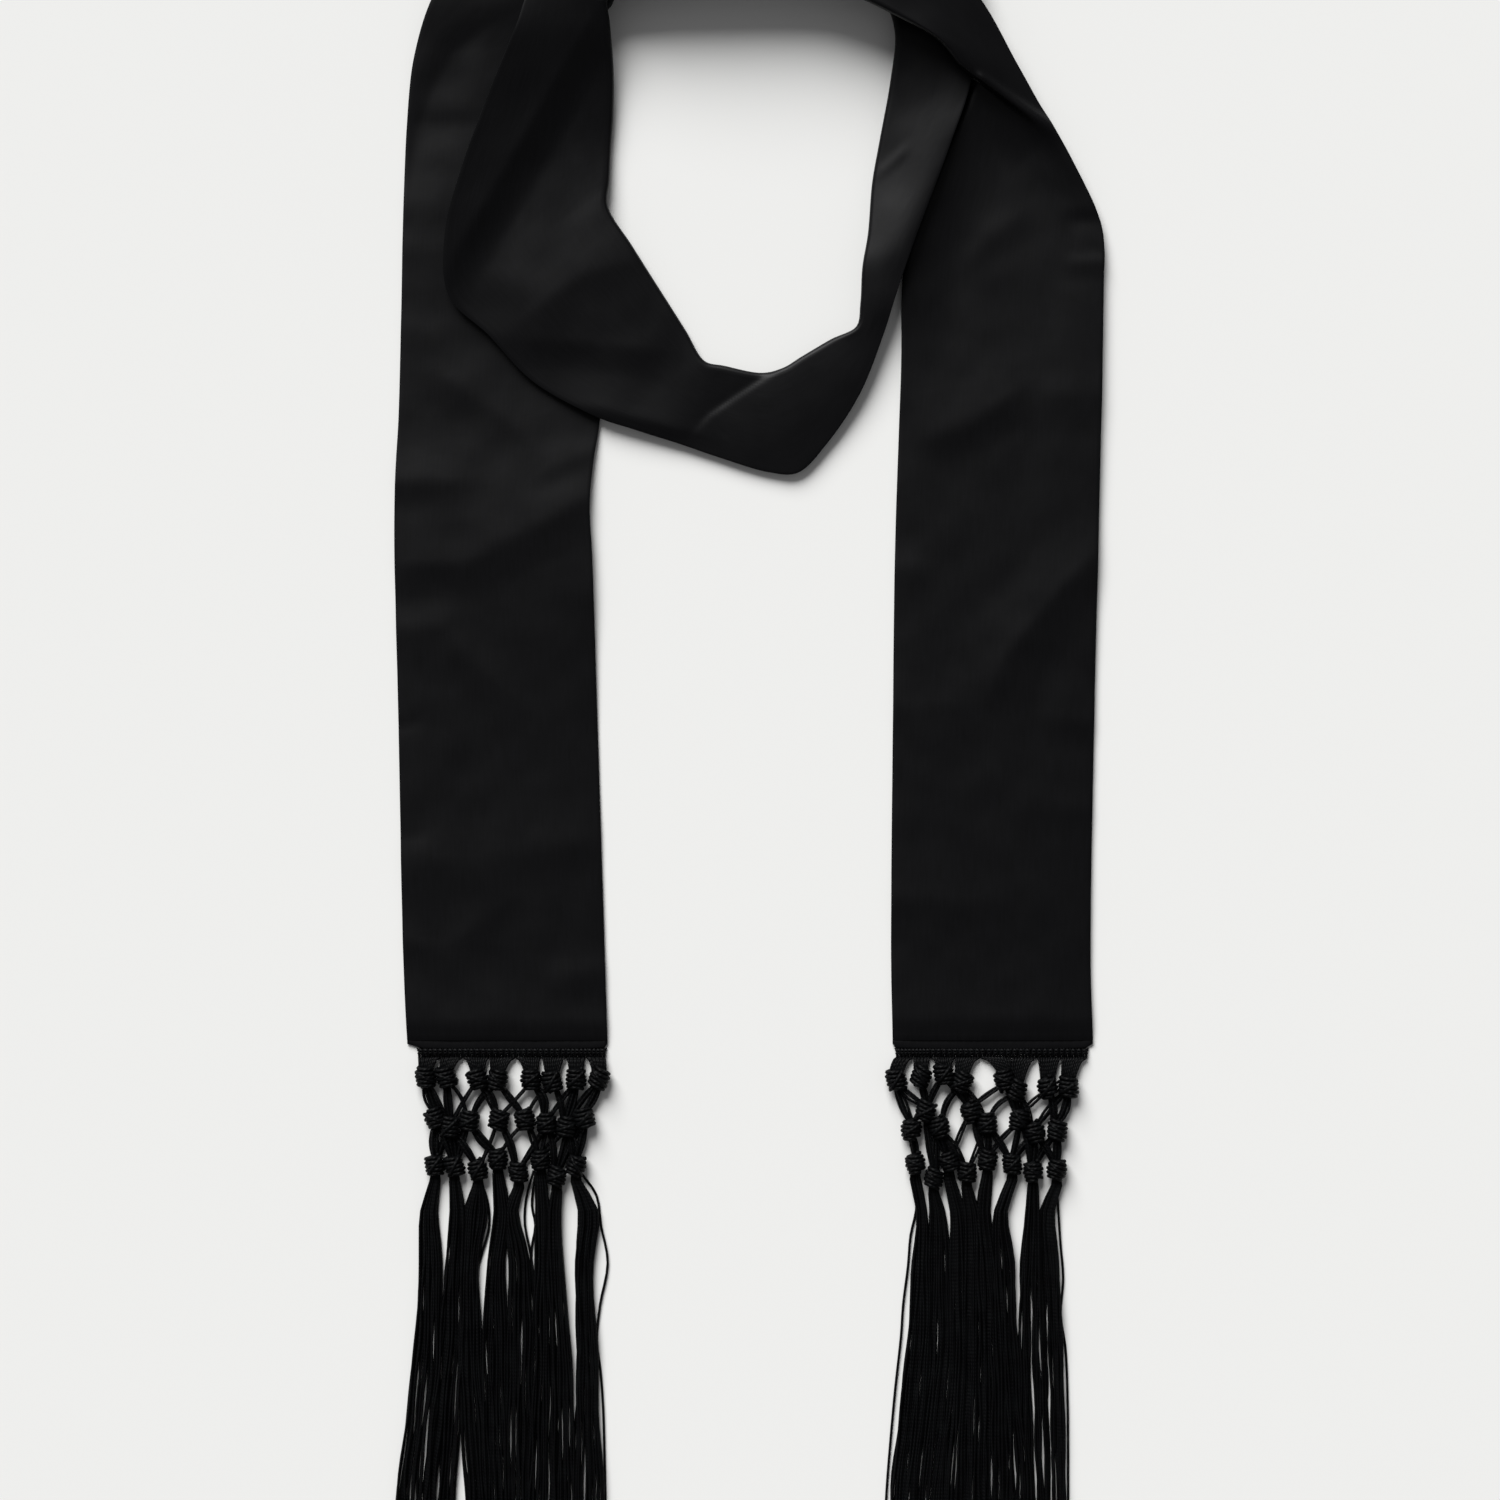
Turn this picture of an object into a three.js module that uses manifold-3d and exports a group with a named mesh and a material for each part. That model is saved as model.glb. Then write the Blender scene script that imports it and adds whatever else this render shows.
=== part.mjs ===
// Skinny scarf of black satin with knotted fringe ends, wrapped once as round a neck and laid flat.
// Millimetres. +Z is up, +Y points to the back of the neck, and z = 0 is the table under the scarf.
import * as THREE from "three";
import { mergeVertices } from "three/addons/utils/BufferGeometryUtils.js";
import Module from "manifold-3d";

const wasm = await Module();
wasm.setup();

// Driving sizes
const BAND_WIDTH = 80;
const WALL = 1.6; // two layers of satin with the seam inside
const SEAT_GAP = 0.3; // between neighbouring pieces
const BAND_END_Y = -116;
const HEM = { length: 3.2, height: 2 };
const HEADER = { length: 3.6, height: 1.8, inset: 1.6 };
const KNOT = { halfWidth: 4.3, halfLength: 4.4, halfHeight: 3.2 };
const HEAD = { halfWidth: 3.4, halfLength: 4.1, halfHeight: 3.3 };
const CORD_RADIUS = 1;
const CORD_HEIGHT = 2.6; // of a cord's middle between knots, which hold it off the table
const FAN = { halfWidth: 4.6, tipHalfWidth: 1.6, height: 1.7 };
const LOCK = { neckHalfWidth: 1.2, neckLength: 3, height: 2.8, wideY: -187, frameY: -300 };
const LOCK_TIP_SHARE = 0.8; // of its width that a lock keeps at its tip
const HEAD_OVERLAP = 0.6; // of a head's half length that its lock starts inside it

// How finely the band is divided
const TOP_POINTS = 8; // across the part of a section that shows
const ALL_POINTS = 12; // with the part folded under it
const STEP = 19; // along the band
const TUCK_CLEARANCE = 6; // from a folded part's free edge to the outer edge above it
const LEAST_TUCK = 2; // of the folded part past its bend
const BEND_SHARE = 0.7; // how far a bend reaches back under the edge, as a share of its radius

// Colours
const SATIN_COLOUR = 0x17181b;
const CORD_COLOUR = 0x101012;

// Heights of a section that lies flat, and the mark of one with nothing folded under
const FLAT = WALL / 2;
const OPEN = null;

// Sections of the band, from the left hem round the neck to the right hem. Each row gives the outer edge,
// away from the neck, and the inner edge in plan, the heights of both edges, how far the section rises
// between them, where across it does so, and the height of the part folded under its inner edge.
const SECTION_COLUMNS = ["outX", "outY", "inX", "inY", "outZ", "inZ", "rise", "riseAt", "underZ"];
const LEFT_TAIL = [
  [-137, BAND_END_Y, -57, BAND_END_Y, FLAT, FLAT, 0, 0.5, OPEN],
  [-138.5, -84, -58, -84, FLAT, FLAT, 0, 0.5, OPEN],
  [-140.5, 12, -61, 12, FLAT, FLAT, 0, 0.5, OPEN],
  [-142, 100, -64, 100, FLAT, FLAT, 0, 0.5, OPEN],
  [-140.5, 132, -60, 132, FLAT, FLAT, 0, 0.5, OPEN],
  [-139.5, 168, -60, 168, FLAT, FLAT, 0, 0.5, OPEN],
  [-138.5, 215, -61, 215, FLAT, FLAT, 0, 0.5, OPEN],
  [-137, 252, -60, 252, FLAT, FLAT, 0, 0.5, OPEN],
  [-134, 277, -58, 277, 1, 2, 0, 0.5, OPEN],
];
const BEHIND_NECK_LOWER = [
  [-126.5, 300, -56, 297, 1.6, 5, 0, 0.5, 1.2],
  [-112, 322, -54, 301, 3, 7.5, 0.5, 0.5, 1.2],
  [-85, 341, -46, 305, 5, 8.5, 1.5, 0.5, 1.2],
  [-50, 350, -28, 307, 6, 8.5, 1.5, 0.5, 1.2],
  [-5, 353, -3, 308, 6, 8.5, 1.5, 0.5, 1.2],
  [40, 350, 22, 307, 6, 8.5, 1.5, 0.5, 1.2],
  [70, 338, 44, 303, 6, 8.5, 1.2, 0.5, 1.2],
  [86, 320, 54, 296, 5.5, 8.5, 1, 0.5, 1.4],
  [91, 300, 58, 285, 5, 8.5, 0.8, 0.5, 2],
];
const RIGHT_SIDE = [
  [87.6, 265, 56.5, 267, 5, 8.5, 0.8, 0.5, 3.2],
  [80, 242, 52, 242, 5, 9, 1, 0.6, 3.4],
  [73.2, 223.6, 49.2, 226, 5, 10, 1, 0.7, 3.4],
  [66, 204.8, 47.4, 205, 5, 10.5, 1, 0.7, 3.4],
  [61, 190, 45.2, 192, 5.5, 10, 1, 0.6, 3.2],
  [56.8, 177, 44.4, 177.5, 6.5, 9, 1, 0.5, 2.6],
  [53.6, 166.8, 42.8, 168.4, 7.5, 9, 1, 0.5, 2.2],
];
const FRONT = [
  [44, 142.4, 32.4, 163.2, 6, 9, 1, 0.5, 1.4],
  [30.8, 122.4, 20.8, 156.4, 5, 9.5, 2, 0.5, 1.2],
  [19, 110.6, 13.5, 152, 5, 9.5, 3, 0.4, 1.2],
  [8, 110.8, 4.8, 150, 5, 9, 3.5, 0.5, 1.2],
  [-13.6, 117.2, -10.4, 152.8, 5, 8, 3, 0.5, 1.2],
  [-28.8, 122.4, -18.4, 154.8, 5, 7, 2, 0.5, 1.2],
  [-48, 128.4, -26, 167, 5, 6, 2, 0.6, 1.4],
];
const LEFT_SIDE = [
  [-60, 132.4, -33, 178, 5, 5.5, 2, 0.6, 1.6],
  [-86.4, 146.8, -47, 200, 5, 5.5, 1.5, 0.6, 2],
  [-104.4, 165.6, -57.2, 216.8, 5.5, 5.5, -0.5, 0.3, 2.9],
  [-120, 180.8, -56.6, 227, 6, 6, -2, 0.2, 3],
  [-121.2, 205.2, -56, 240, 7, 7, -3, 0.3, 3.2],
  [-115.2, 228.4, -55, 254, 7.5, 8, -3.5, 0.4, 3.6],
  [-104.4, 257.2, -54.8, 271, 8, 10, -3.5, 0.5, 5],
  [-92.4, 285.6, -56, 288, 11, 14, -2, 0.5, 9.4],
];
const BEHIND_NECK_UPPER = [
  [-85, 304, -56.5, 298, 14.5, 17, 0, 0.5, 12],
  [-62, 324, -45, 304, 17, 20, 1, 0.5, 13.2],
  [-30, 338, -22, 307, 18, 21, 2, 0.5, 13.2],
  [0, 342, 0, 308, 18, 21, 2.4, 0.5, 13.2],
  [32, 338, 20, 307, 17, 20.5, 2, 0.5, 13.2],
  [60, 325, 38, 302, 15, 19.5, 1.4, 0.5, 13],
  [89.2, 300, 54, 295.6, 11, 17.5, 1, 0.6, 12.8],
];
const RIGHT_SHOULDER = [
  [106, 272.4, 76.4, 279.2, 7, 15.5, 1, 0.5, 11.6],
  [121.2, 245.2, 87.4, 267, 4.5, 11.5, 1, 0.5, 7.8],
  [132, 226, 91, 264, 3, 7, 1, 0.5, 4.4],
  [138.5, 215, 91, 261, 3.6, 3.4, 1, 0.5, OPEN],
  [141.2, 202.8, 80, 246, 3.4, FLAT, 1.6, 0.6, OPEN],
  [141.2, 191, 69, 222, 2.4, FLAT, 1.4, 0.6, OPEN],
  [141, 178, 62, 188, 1.4, FLAT, 0.6, 0.6, OPEN],
];
const RIGHT_TAIL = [
  [140.6, 152, 60.4, 155, FLAT, FLAT, 0, 0.5, OPEN],
  [139, 81, 58, 81, FLAT, FLAT, 0, 0.5, OPEN],
  [137.6, 20, 57.2, 20, FLAT, FLAT, 0, 0.5, OPEN],
  [136, -84, 56.4, -84, FLAT, FLAT, 0, 0.5, OPEN],
  [137, BAND_END_Y, 57, BAND_END_Y, FLAT, FLAT, 0, 0.5, OPEN],
];

// Soft folds that stand up from the two tails: the crest's ends in plan, its rise and its reach each side
const FOLD_COLUMNS = ["fromX", "fromY", "toX", "toY", "rise", "reach"];
const TAIL_FOLDS = [
  [-62, 102, -138, 72, 5, 19],
  [-116, 152, -74, 120, 2.4, 14],
  [-140, 58, -104, 30, 2.2, 14],
  [-130, -70, -98, -52, 1.4, 12],
  [112, 152, 70, 116, 3, 15],
  [137, 97, 98, 30, 3.4, 16],
  [98, 16, 130, -64, 1.8, 14],
];

// Knots of each fringe, one row for each column of knots: their centres in the three rows, top to bottom
const KNOT_COLUMNS = ["firstX", "firstY", "secondX", "secondY", "headX", "headY"];
const LEFT_KNOTS = [
  [-129.6, -130.8, -125.6, -146.8, -125.8, -165.2],
  [-121.2, -130.8, -119.6, -149.6, -118, -166],
  [-108.4, -130.8, -112, -146.4, -108.6, -166.8],
  [-100.8, -131.6, -100.4, -147.6, -100.6, -163.6],
  [-87.6, -131.2, -90, -147.2, -92.4, -168.8],
  [-79.2, -132, -80.8, -148, -83.6, -163.6],
  [-70.4, -131.2, -73.6, -149.2, -77.2, -170.4],
  [-60.8, -130.8, -66.8, -146.8, -69.2, -165.2],
];
const RIGHT_KNOTS = [
  [58.6, -131.6, 63.6, -150.8, 65.6, -164.8],
  [68, -130.4, 69.2, -144.8, 72.8, -170.6],
  [77.2, -129.8, 76, -150, 79, -165.2],
  [85, -132.4, 87.2, -144.8, 86.6, -167.2],
  [101, -131.6, 94.4, -148.4, 95.2, -163.6],
  [108, -134.4, 107.6, -148, 104.8, -166],
  [118.4, -132, 114, -152.4, 113.2, -168.4],
  [126.8, -134.4, 122.8, -150.8, 122, -167],
];

// Spread of the strands: the outer edges of each fringe where it has opened out, and at LOCK.frameY
const SPREADS = {
  left: { wide: [-133.6, -58.8], frame: [-142.4, -58] },
  right: { wide: [62.8, 123.6], frame: [54.8, 127.6] },
};
const LOCK_ENDS_Y = [-322, -326, -320, -327, -323, -328, -321, -325];

const named = (columns, rows) =>
  rows.map((row) => Object.fromEntries(columns.map((column, i) => [column, row[i]])));

// Points from one edge to the other, with a rise of a sine's shape whose peak is at riseAt
function across(from, to, rise, riseAt, count) {
  const skew = Math.log(0.5) / Math.log(riseAt);
  return Array.from({ length: count }, (_, i) => {
    const share = i / (count - 1);
    const point = from.clone().lerp(to, share);
    point.z += rise * Math.sin(Math.PI * share ** skew);
    return point;
  });
}

// The middle line of one section: flat, or with the cloth's spare width folded under the inner edge
function sectionPoints(row) {
  const outer = new THREE.Vector3(row.outX, row.outY, row.outZ);
  const inner = new THREE.Vector3(row.inX, row.inY, row.inZ);
  if (row.underZ === OPEN) return across(outer, inner, row.rise, row.riseAt, ALL_POINTS);
  const inward = inner.clone().sub(outer).setZ(0);
  const width = inward.length();
  inward.normalize();
  const bend = (row.inZ - row.underZ) / 2;
  const reach = bend * BEND_SHARE;
  const tuck = Math.max(bend + LEAST_TUCK, Math.min(BAND_WIDTH - width, width - TUCK_CLEARANCE));
  const back = (distance, height) => inner.clone().addScaledVector(inward, -distance).setZ(height);
  return [
    ...across(outer, back(reach, row.inZ), row.rise, row.riseAt, TOP_POINTS),
    back(0, row.inZ - bend),
    back(reach, row.underZ),
    back((reach + tuck) / 2, row.underZ),
    back(tuck, row.underZ),
  ];
}

// Height that the folds add at a place on a tail
function foldHeight(x, y) {
  let height = 0;
  for (const fold of named(FOLD_COLUMNS, TAIL_FOLDS)) {
    const crest = new THREE.Line3(
      new THREE.Vector3(fold.fromX, fold.fromY, 0),
      new THREE.Vector3(fold.toX, fold.toY, 0),
    );
    const place = new THREE.Vector3(x, y, 0);
    const nearest = crest.closestPointToPoint(place, true, new THREE.Vector3());
    const share = Math.min(nearest.distanceTo(place) / fold.reach, 1);
    height += (fold.rise * (1 + Math.cos(Math.PI * share))) / 2;
  }
  return height;
}

// The band's middle surface as rows of points, along smooth threads through the sections
function bandSurface() {
  const stretches = [LEFT_TAIL, BEHIND_NECK_LOWER, RIGHT_SIDE, FRONT, LEFT_SIDE];
  stretches.push(BEHIND_NECK_UPPER, RIGHT_SHOULDER, RIGHT_TAIL);
  const sections = named(SECTION_COLUMNS, stretches.flat()).map(sectionPoints);
  const threads = Array.from({ length: ALL_POINTS }, (_, k) => {
    const along = sections.map((points) => points[k]);
    return new THREE.CatmullRomCurve3(along, false, "centripetal");
  });
  const last = sections.length - 1;
  const surface = [];
  for (let i = 0; i < last; i += 1) {
    const middle = Math.floor(TOP_POINTS / 2);
    const parts = Math.ceil(sections[i][middle].distanceTo(sections[i + 1][middle]) / STEP);
    for (let j = 0; j < parts; j += 1) {
      surface.push(threads.map((thread) => thread.getPoint((i + j / parts) / last)));
    }
  }
  surface.push(sections[last]);
  const onTail = surface.filter((row) => row.every((point) => point.z < FLAT + 1e-3));
  for (const point of onTail.flat()) point.z += foldHeight(point.x, point.y);
  return surface;
}

// A closed solid of even thickness round a grid of points, clear of the table
function thickened(surface, wall) {
  const rows = surface.length;
  const columns = surface[0].length;
  const positions = [];
  for (const side of [1, -1]) {
    for (let i = 0; i < rows; i += 1) {
      for (let k = 0; k < columns; k += 1) {
        const along = surface[Math.min(i + 1, rows - 1)][k].clone().sub(surface[Math.max(i - 1, 0)][k]);
        const over = surface[i][Math.min(k + 1, columns - 1)].clone().sub(surface[i][Math.max(k - 1, 0)]);
        const normal = over.cross(along).normalize();
        const point = surface[i][k].clone().addScaledVector(normal, (side * wall) / 2);
        positions.push(point.x, point.y, Math.max(point.z, 0));
      }
    }
  }
  const upper = (i, k) => i * columns + k;
  const lower = (i, k) => (rows + i) * columns + k;
  const index = [];
  const quad = (a, b, c, d) => index.push(a, b, c, a, c, d);
  for (let i = 0; i < rows - 1; i += 1) {
    for (let k = 0; k < columns - 1; k += 1) {
      quad(upper(i, k), upper(i, k + 1), upper(i + 1, k + 1), upper(i + 1, k));
      quad(lower(i, k), lower(i + 1, k), lower(i + 1, k + 1), lower(i, k + 1));
    }
    quad(upper(i, 0), upper(i + 1, 0), lower(i + 1, 0), lower(i, 0));
    const edge = columns - 1;
    quad(upper(i, edge), lower(i, edge), lower(i + 1, edge), upper(i + 1, edge));
  }
  const end = rows - 1;
  for (let k = 0; k < columns - 1; k += 1) {
    quad(upper(0, k), lower(0, k), lower(0, k + 1), upper(0, k + 1));
    quad(upper(end, k), upper(end, k + 1), lower(end, k + 1), lower(end, k));
  }
  const geometry = new THREE.BufferGeometry();
  geometry.setAttribute("position", new THREE.Float32BufferAttribute(positions, 3));
  geometry.setIndex(index);
  return geometry;
}

// Joining
function toSolid(geometry) {
  geometry.deleteAttribute("normal");
  geometry.deleteAttribute("uv");
  const merged = mergeVertices(geometry);
  const vertProperties = merged.getAttribute("position").array;
  const triVerts = Uint32Array.from(merged.getIndex().array);
  return new wasm.Manifold(new wasm.Mesh({ numProp: 3, vertProperties, triVerts }));
}

function joined(geometries) {
  const { vertProperties, triVerts } = geometries.map(toSolid).reduce((all, one) => all.add(one)).getMesh();
  const geometry = new THREE.BufferGeometry();
  geometry.setAttribute("position", new THREE.BufferAttribute(vertProperties, 3));
  geometry.setIndex(new THREE.BufferAttribute(triVerts, 1));
  return geometry;
}

// Pieces of the fringe
function knot(x, y, size) {
  const geometry = new THREE.OctahedronGeometry(1, 1);
  geometry.scale(size.halfWidth, size.halfLength, size.halfHeight);
  geometry.translate(x, y, size.halfHeight);
  return geometry;
}

function cord(from, to) {
  const run = to.clone().sub(from);
  const geometry = new THREE.CylinderGeometry(CORD_RADIUS, CORD_RADIUS, run.length(), 5);
  const turn = new THREE.Quaternion().setFromUnitVectors(new THREE.Vector3(0, 1, 0), run.normalize());
  geometry.applyQuaternion(turn);
  geometry.translate((from.x + to.x) / 2, (from.y + to.y) / 2, (from.z + to.z) / 2);
  return geometry;
}

// The cords that gather from the header into one knot of the first row
function fan(headerX, topY, x, y) {
  const outline = new THREE.Shape();
  outline.moveTo(headerX - FAN.halfWidth, topY);
  outline.lineTo(x - FAN.tipHalfWidth, y);
  outline.lineTo(x + FAN.tipHalfWidth, y);
  outline.lineTo(headerX + FAN.halfWidth, topY);
  outline.closePath();
  const geometry = new THREE.ExtrudeGeometry(outline, { depth: FAN.height, bevelEnabled: false });
  geometry.translate(0, 0, SEAT_GAP);
  return geometry;
}

const headerTopY = BAND_END_Y - SEAT_GAP - HEM.length - SEAT_GAP;
const netTopY = headerTopY - HEADER.length - SEAT_GAP;

// Two rows of knots with the crossing cords between them, down to just above the third row
function knotNet(knots, headerLeft, headerRight) {
  const pitch = (headerRight - headerLeft) / knots.length;
  const pieces = [];
  const first = knots.map((k) => new THREE.Vector3(k.firstX, k.firstY, CORD_HEIGHT));
  const second = knots.map((k) => new THREE.Vector3(k.secondX, k.secondY, CORD_HEIGHT));
  const heads = knots.map((k) => new THREE.Vector3(k.headX, k.headY, CORD_HEIGHT));
  const toHead = (from, head) => {
    const inset = HEAD.halfLength + SEAT_GAP;
    return cord(from, head.clone().add(from.clone().sub(head).setLength(inset)));
  };
  knots.forEach((k, j) => {
    pieces.push(fan(headerLeft + pitch * (j + 0.5), netTopY, k.firstX, k.firstY));
    pieces.push(knot(k.firstX, k.firstY, KNOT), knot(k.secondX, k.secondY, KNOT));
    pieces.push(cord(first[j], second[j]));
  });
  for (let j = 1; j < knots.length - 1; j += 2) {
    pieces.push(cord(first[j], second[j + 1]), cord(first[j + 1], second[j]));
  }
  for (let j = 0; j < knots.length - 1; j += 1) {
    pieces.push(toHead(second[j], heads[j + 1]), toHead(second[j + 1], heads[j]));
  }
  return joined(pieces);
}

// A lock of strands below its knot: flat underneath, narrow at the knot and spread at the tip
function lock(k, wideX, frameX, endY, wideHalf, frameHalf) {
  const startY = k.headY - HEAD.halfLength * HEAD_OVERLAP;
  const stations = [
    { x: k.headX, y: startY, half: LOCK.neckHalfWidth },
    { x: k.headX, y: k.headY - HEAD.halfLength - LOCK.neckLength, half: LOCK.neckHalfWidth },
    { x: wideX, y: LOCK.wideY, half: wideHalf },
    { x: (wideX + frameX) / 2, y: (LOCK.wideY + LOCK.frameY) / 2, half: (wideHalf + frameHalf) / 2 },
    { x: frameX, y: LOCK.frameY, half: frameHalf },
    { x: frameX, y: endY, half: frameHalf * LOCK_TIP_SHARE },
  ];
  // Half widths across and heights up of the lock's five corners
  const profile = [
    [-1, 0],
    [1, 0],
    [0.8, 0.6],
    [0, 1],
    [-0.8, 0.6],
  ];
  const sides = profile.length;
  const positions = stations.flatMap((s) =>
    profile.flatMap(([over, up]) => [s.x + over * s.half, s.y, up * LOCK.height]),
  );
  const index = [];
  for (let i = 0; i < stations.length - 1; i += 1) {
    for (let s = 0; s < sides; s += 1) {
      const a = i * sides + s;
      const b = i * sides + ((s + 1) % sides);
      index.push(a, b, a + sides, b, b + sides, a + sides);
    }
  }
  const end = (stations.length - 1) * sides;
  for (let s = 1; s < sides - 1; s += 1) {
    index.push(0, s + 1, s, end, end + s, end + s + 1);
  }
  const geometry = new THREE.BufferGeometry();
  geometry.setAttribute("position", new THREE.Float32BufferAttribute(positions, 3));
  geometry.setIndex(index);
  return geometry;
}

function bar(left, right, topY, size) {
  const geometry = new THREE.BoxGeometry(right - left, size.length, size.height);
  geometry.translate((left + right) / 2, topY - size.length / 2, size.height / 2);
  return geometry;
}

// Assembly
const satin = () => new THREE.MeshStandardMaterial({ color: SATIN_COLOUR, roughness: 0.42, metalness: 0 });
const viscose = () => new THREE.MeshStandardMaterial({ color: CORD_COLOUR, roughness: 0.55, metalness: 0 });
const scarf = new THREE.Group();

function addPiece(name, geometry, material) {
  const piece = new THREE.Mesh(geometry, material);
  piece.name = name;
  scarf.add(piece);
}

function addFringe(side, knotRows, left, right) {
  const knots = named(KNOT_COLUMNS, knotRows);
  const { wide, frame } = SPREADS[side];
  addPiece(`${side}_hem`, bar(left, right, BAND_END_Y - SEAT_GAP, HEM), satin());
  const header = bar(left + HEADER.inset, right - HEADER.inset, headerTopY, HEADER);
  addPiece(`${side}_header_braid`, header, viscose());
  const net = knotNet(knots, left + HEADER.inset, right - HEADER.inset);
  addPiece(`${side}_knot_net`, net, viscose());
  knots.forEach((k, j) => {
    const spread = ([from, to]) => {
      const pitch = (to - from) / knots.length;
      return { x: from + pitch * (j + 0.5), half: (pitch - SEAT_GAP * 2) / 2 };
    };
    const atWide = spread(wide);
    const atFrame = spread(frame);
    const strands = lock(k, atWide.x, atFrame.x, LOCK_ENDS_Y[j], atWide.half, atFrame.half);
    addPiece(`${side}_tassel_${j + 1}`, joined([knot(k.headX, k.headY, HEAD), strands]), viscose());
  });
}

addPiece("satin_band", thickened(bandSurface(), WALL), satin());
addFringe("left", LEFT_KNOTS, -137, -57);
addFringe("right", RIGHT_KNOTS, 57, 137);

// The origin goes to the middle of the scarf's underside
const extent = new THREE.Box3().setFromObject(scarf);
const middle = extent.getCenter(new THREE.Vector3());
scarf.position.set(-middle.x, -middle.y, -extent.min.z);

export default scarf;
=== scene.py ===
"""Skinny scarf of black satin with knotted fringe ends, wrapped once as round a neck and laid flat."""
import math
import random

import bmesh
import bpy
from mathutils import Matrix, Vector, noise


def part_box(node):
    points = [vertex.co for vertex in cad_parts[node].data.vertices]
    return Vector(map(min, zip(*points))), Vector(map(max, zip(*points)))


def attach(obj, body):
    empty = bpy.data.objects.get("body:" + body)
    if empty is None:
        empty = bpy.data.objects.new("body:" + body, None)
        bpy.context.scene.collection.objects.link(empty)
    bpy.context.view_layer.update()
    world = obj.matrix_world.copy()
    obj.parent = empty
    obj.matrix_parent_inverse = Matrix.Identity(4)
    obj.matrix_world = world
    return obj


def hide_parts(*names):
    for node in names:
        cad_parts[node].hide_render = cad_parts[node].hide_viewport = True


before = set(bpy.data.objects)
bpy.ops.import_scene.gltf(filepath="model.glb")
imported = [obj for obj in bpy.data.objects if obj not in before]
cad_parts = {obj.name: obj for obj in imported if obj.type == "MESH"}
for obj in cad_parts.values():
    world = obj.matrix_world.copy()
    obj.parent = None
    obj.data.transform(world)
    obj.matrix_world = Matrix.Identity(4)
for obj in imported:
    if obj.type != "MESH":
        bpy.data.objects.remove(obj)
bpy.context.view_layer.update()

MM = 0.001

# The pattern the scarf is laid out on has its own middle: the left hem says where that is in the frame
PATTERN_HEM_LEFT = -137
PATTERN_HEM_TOP = -116.3
hem_low, hem_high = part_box("left_hem")
MIDDLE = Vector((hem_low[0] - PATTERN_HEM_LEFT * MM, hem_high[1] - PATTERN_HEM_TOP * MM, 0))


def placed(x, y, z):
    """A place on the pattern, in millimetres, as a point of the frame."""
    return MIDDLE + Vector((x, y, z)) * MM


# Camera, straight above, framing 600 mm as the photograph does
PICTURE_WIDTH = 0.6
SENSOR = 0.036
LENS_MM = 85


def make_camera():
    """A camera that looks straight down at the pattern's middle."""
    data = bpy.data.cameras.new("Camera")
    data.sensor_width = SENSOR / MM
    data.lens = LENS_MM
    camera = bpy.data.objects.new("Camera", data)
    camera.location = MIDDLE + Vector((0, 0, PICTURE_WIDTH * LENS_MM * MM / SENSOR))
    bpy.context.collection.objects.link(camera)
    bpy.context.scene.camera = camera


# Materials


def colour(code):
    """An sRGB hex colour as linear light."""
    parts = [int(code[i:i + 2], 16) / 255 for i in (1, 3, 5)]
    return [c / 12.92 if c <= 0.04045 else ((c + 0.055) / 1.055) ** 2.4 for c in parts] + [1]


def add_node(tree, kind, settings=None, links=None):
    """A node with its settings, and links into its inputs from other nodes' outputs. An input is given by
    its name, or by its number where several have the same name."""
    node = tree.nodes.new(kind)
    for name, value in (settings or {}).items():
        if isinstance(name, int) or name in node.inputs:
            node.inputs[name].default_value = value
        else:
            setattr(node, name, value)
    for name, source in (links or {}).items():
        tree.links.new(source, node.inputs[name])
    return node


def new_material(name):
    """A material, its node tree and its shader."""
    material = bpy.data.materials.new(name)
    material.use_nodes = True
    tree = material.node_tree
    return material, tree, tree.nodes["Principled BSDF"]


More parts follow.
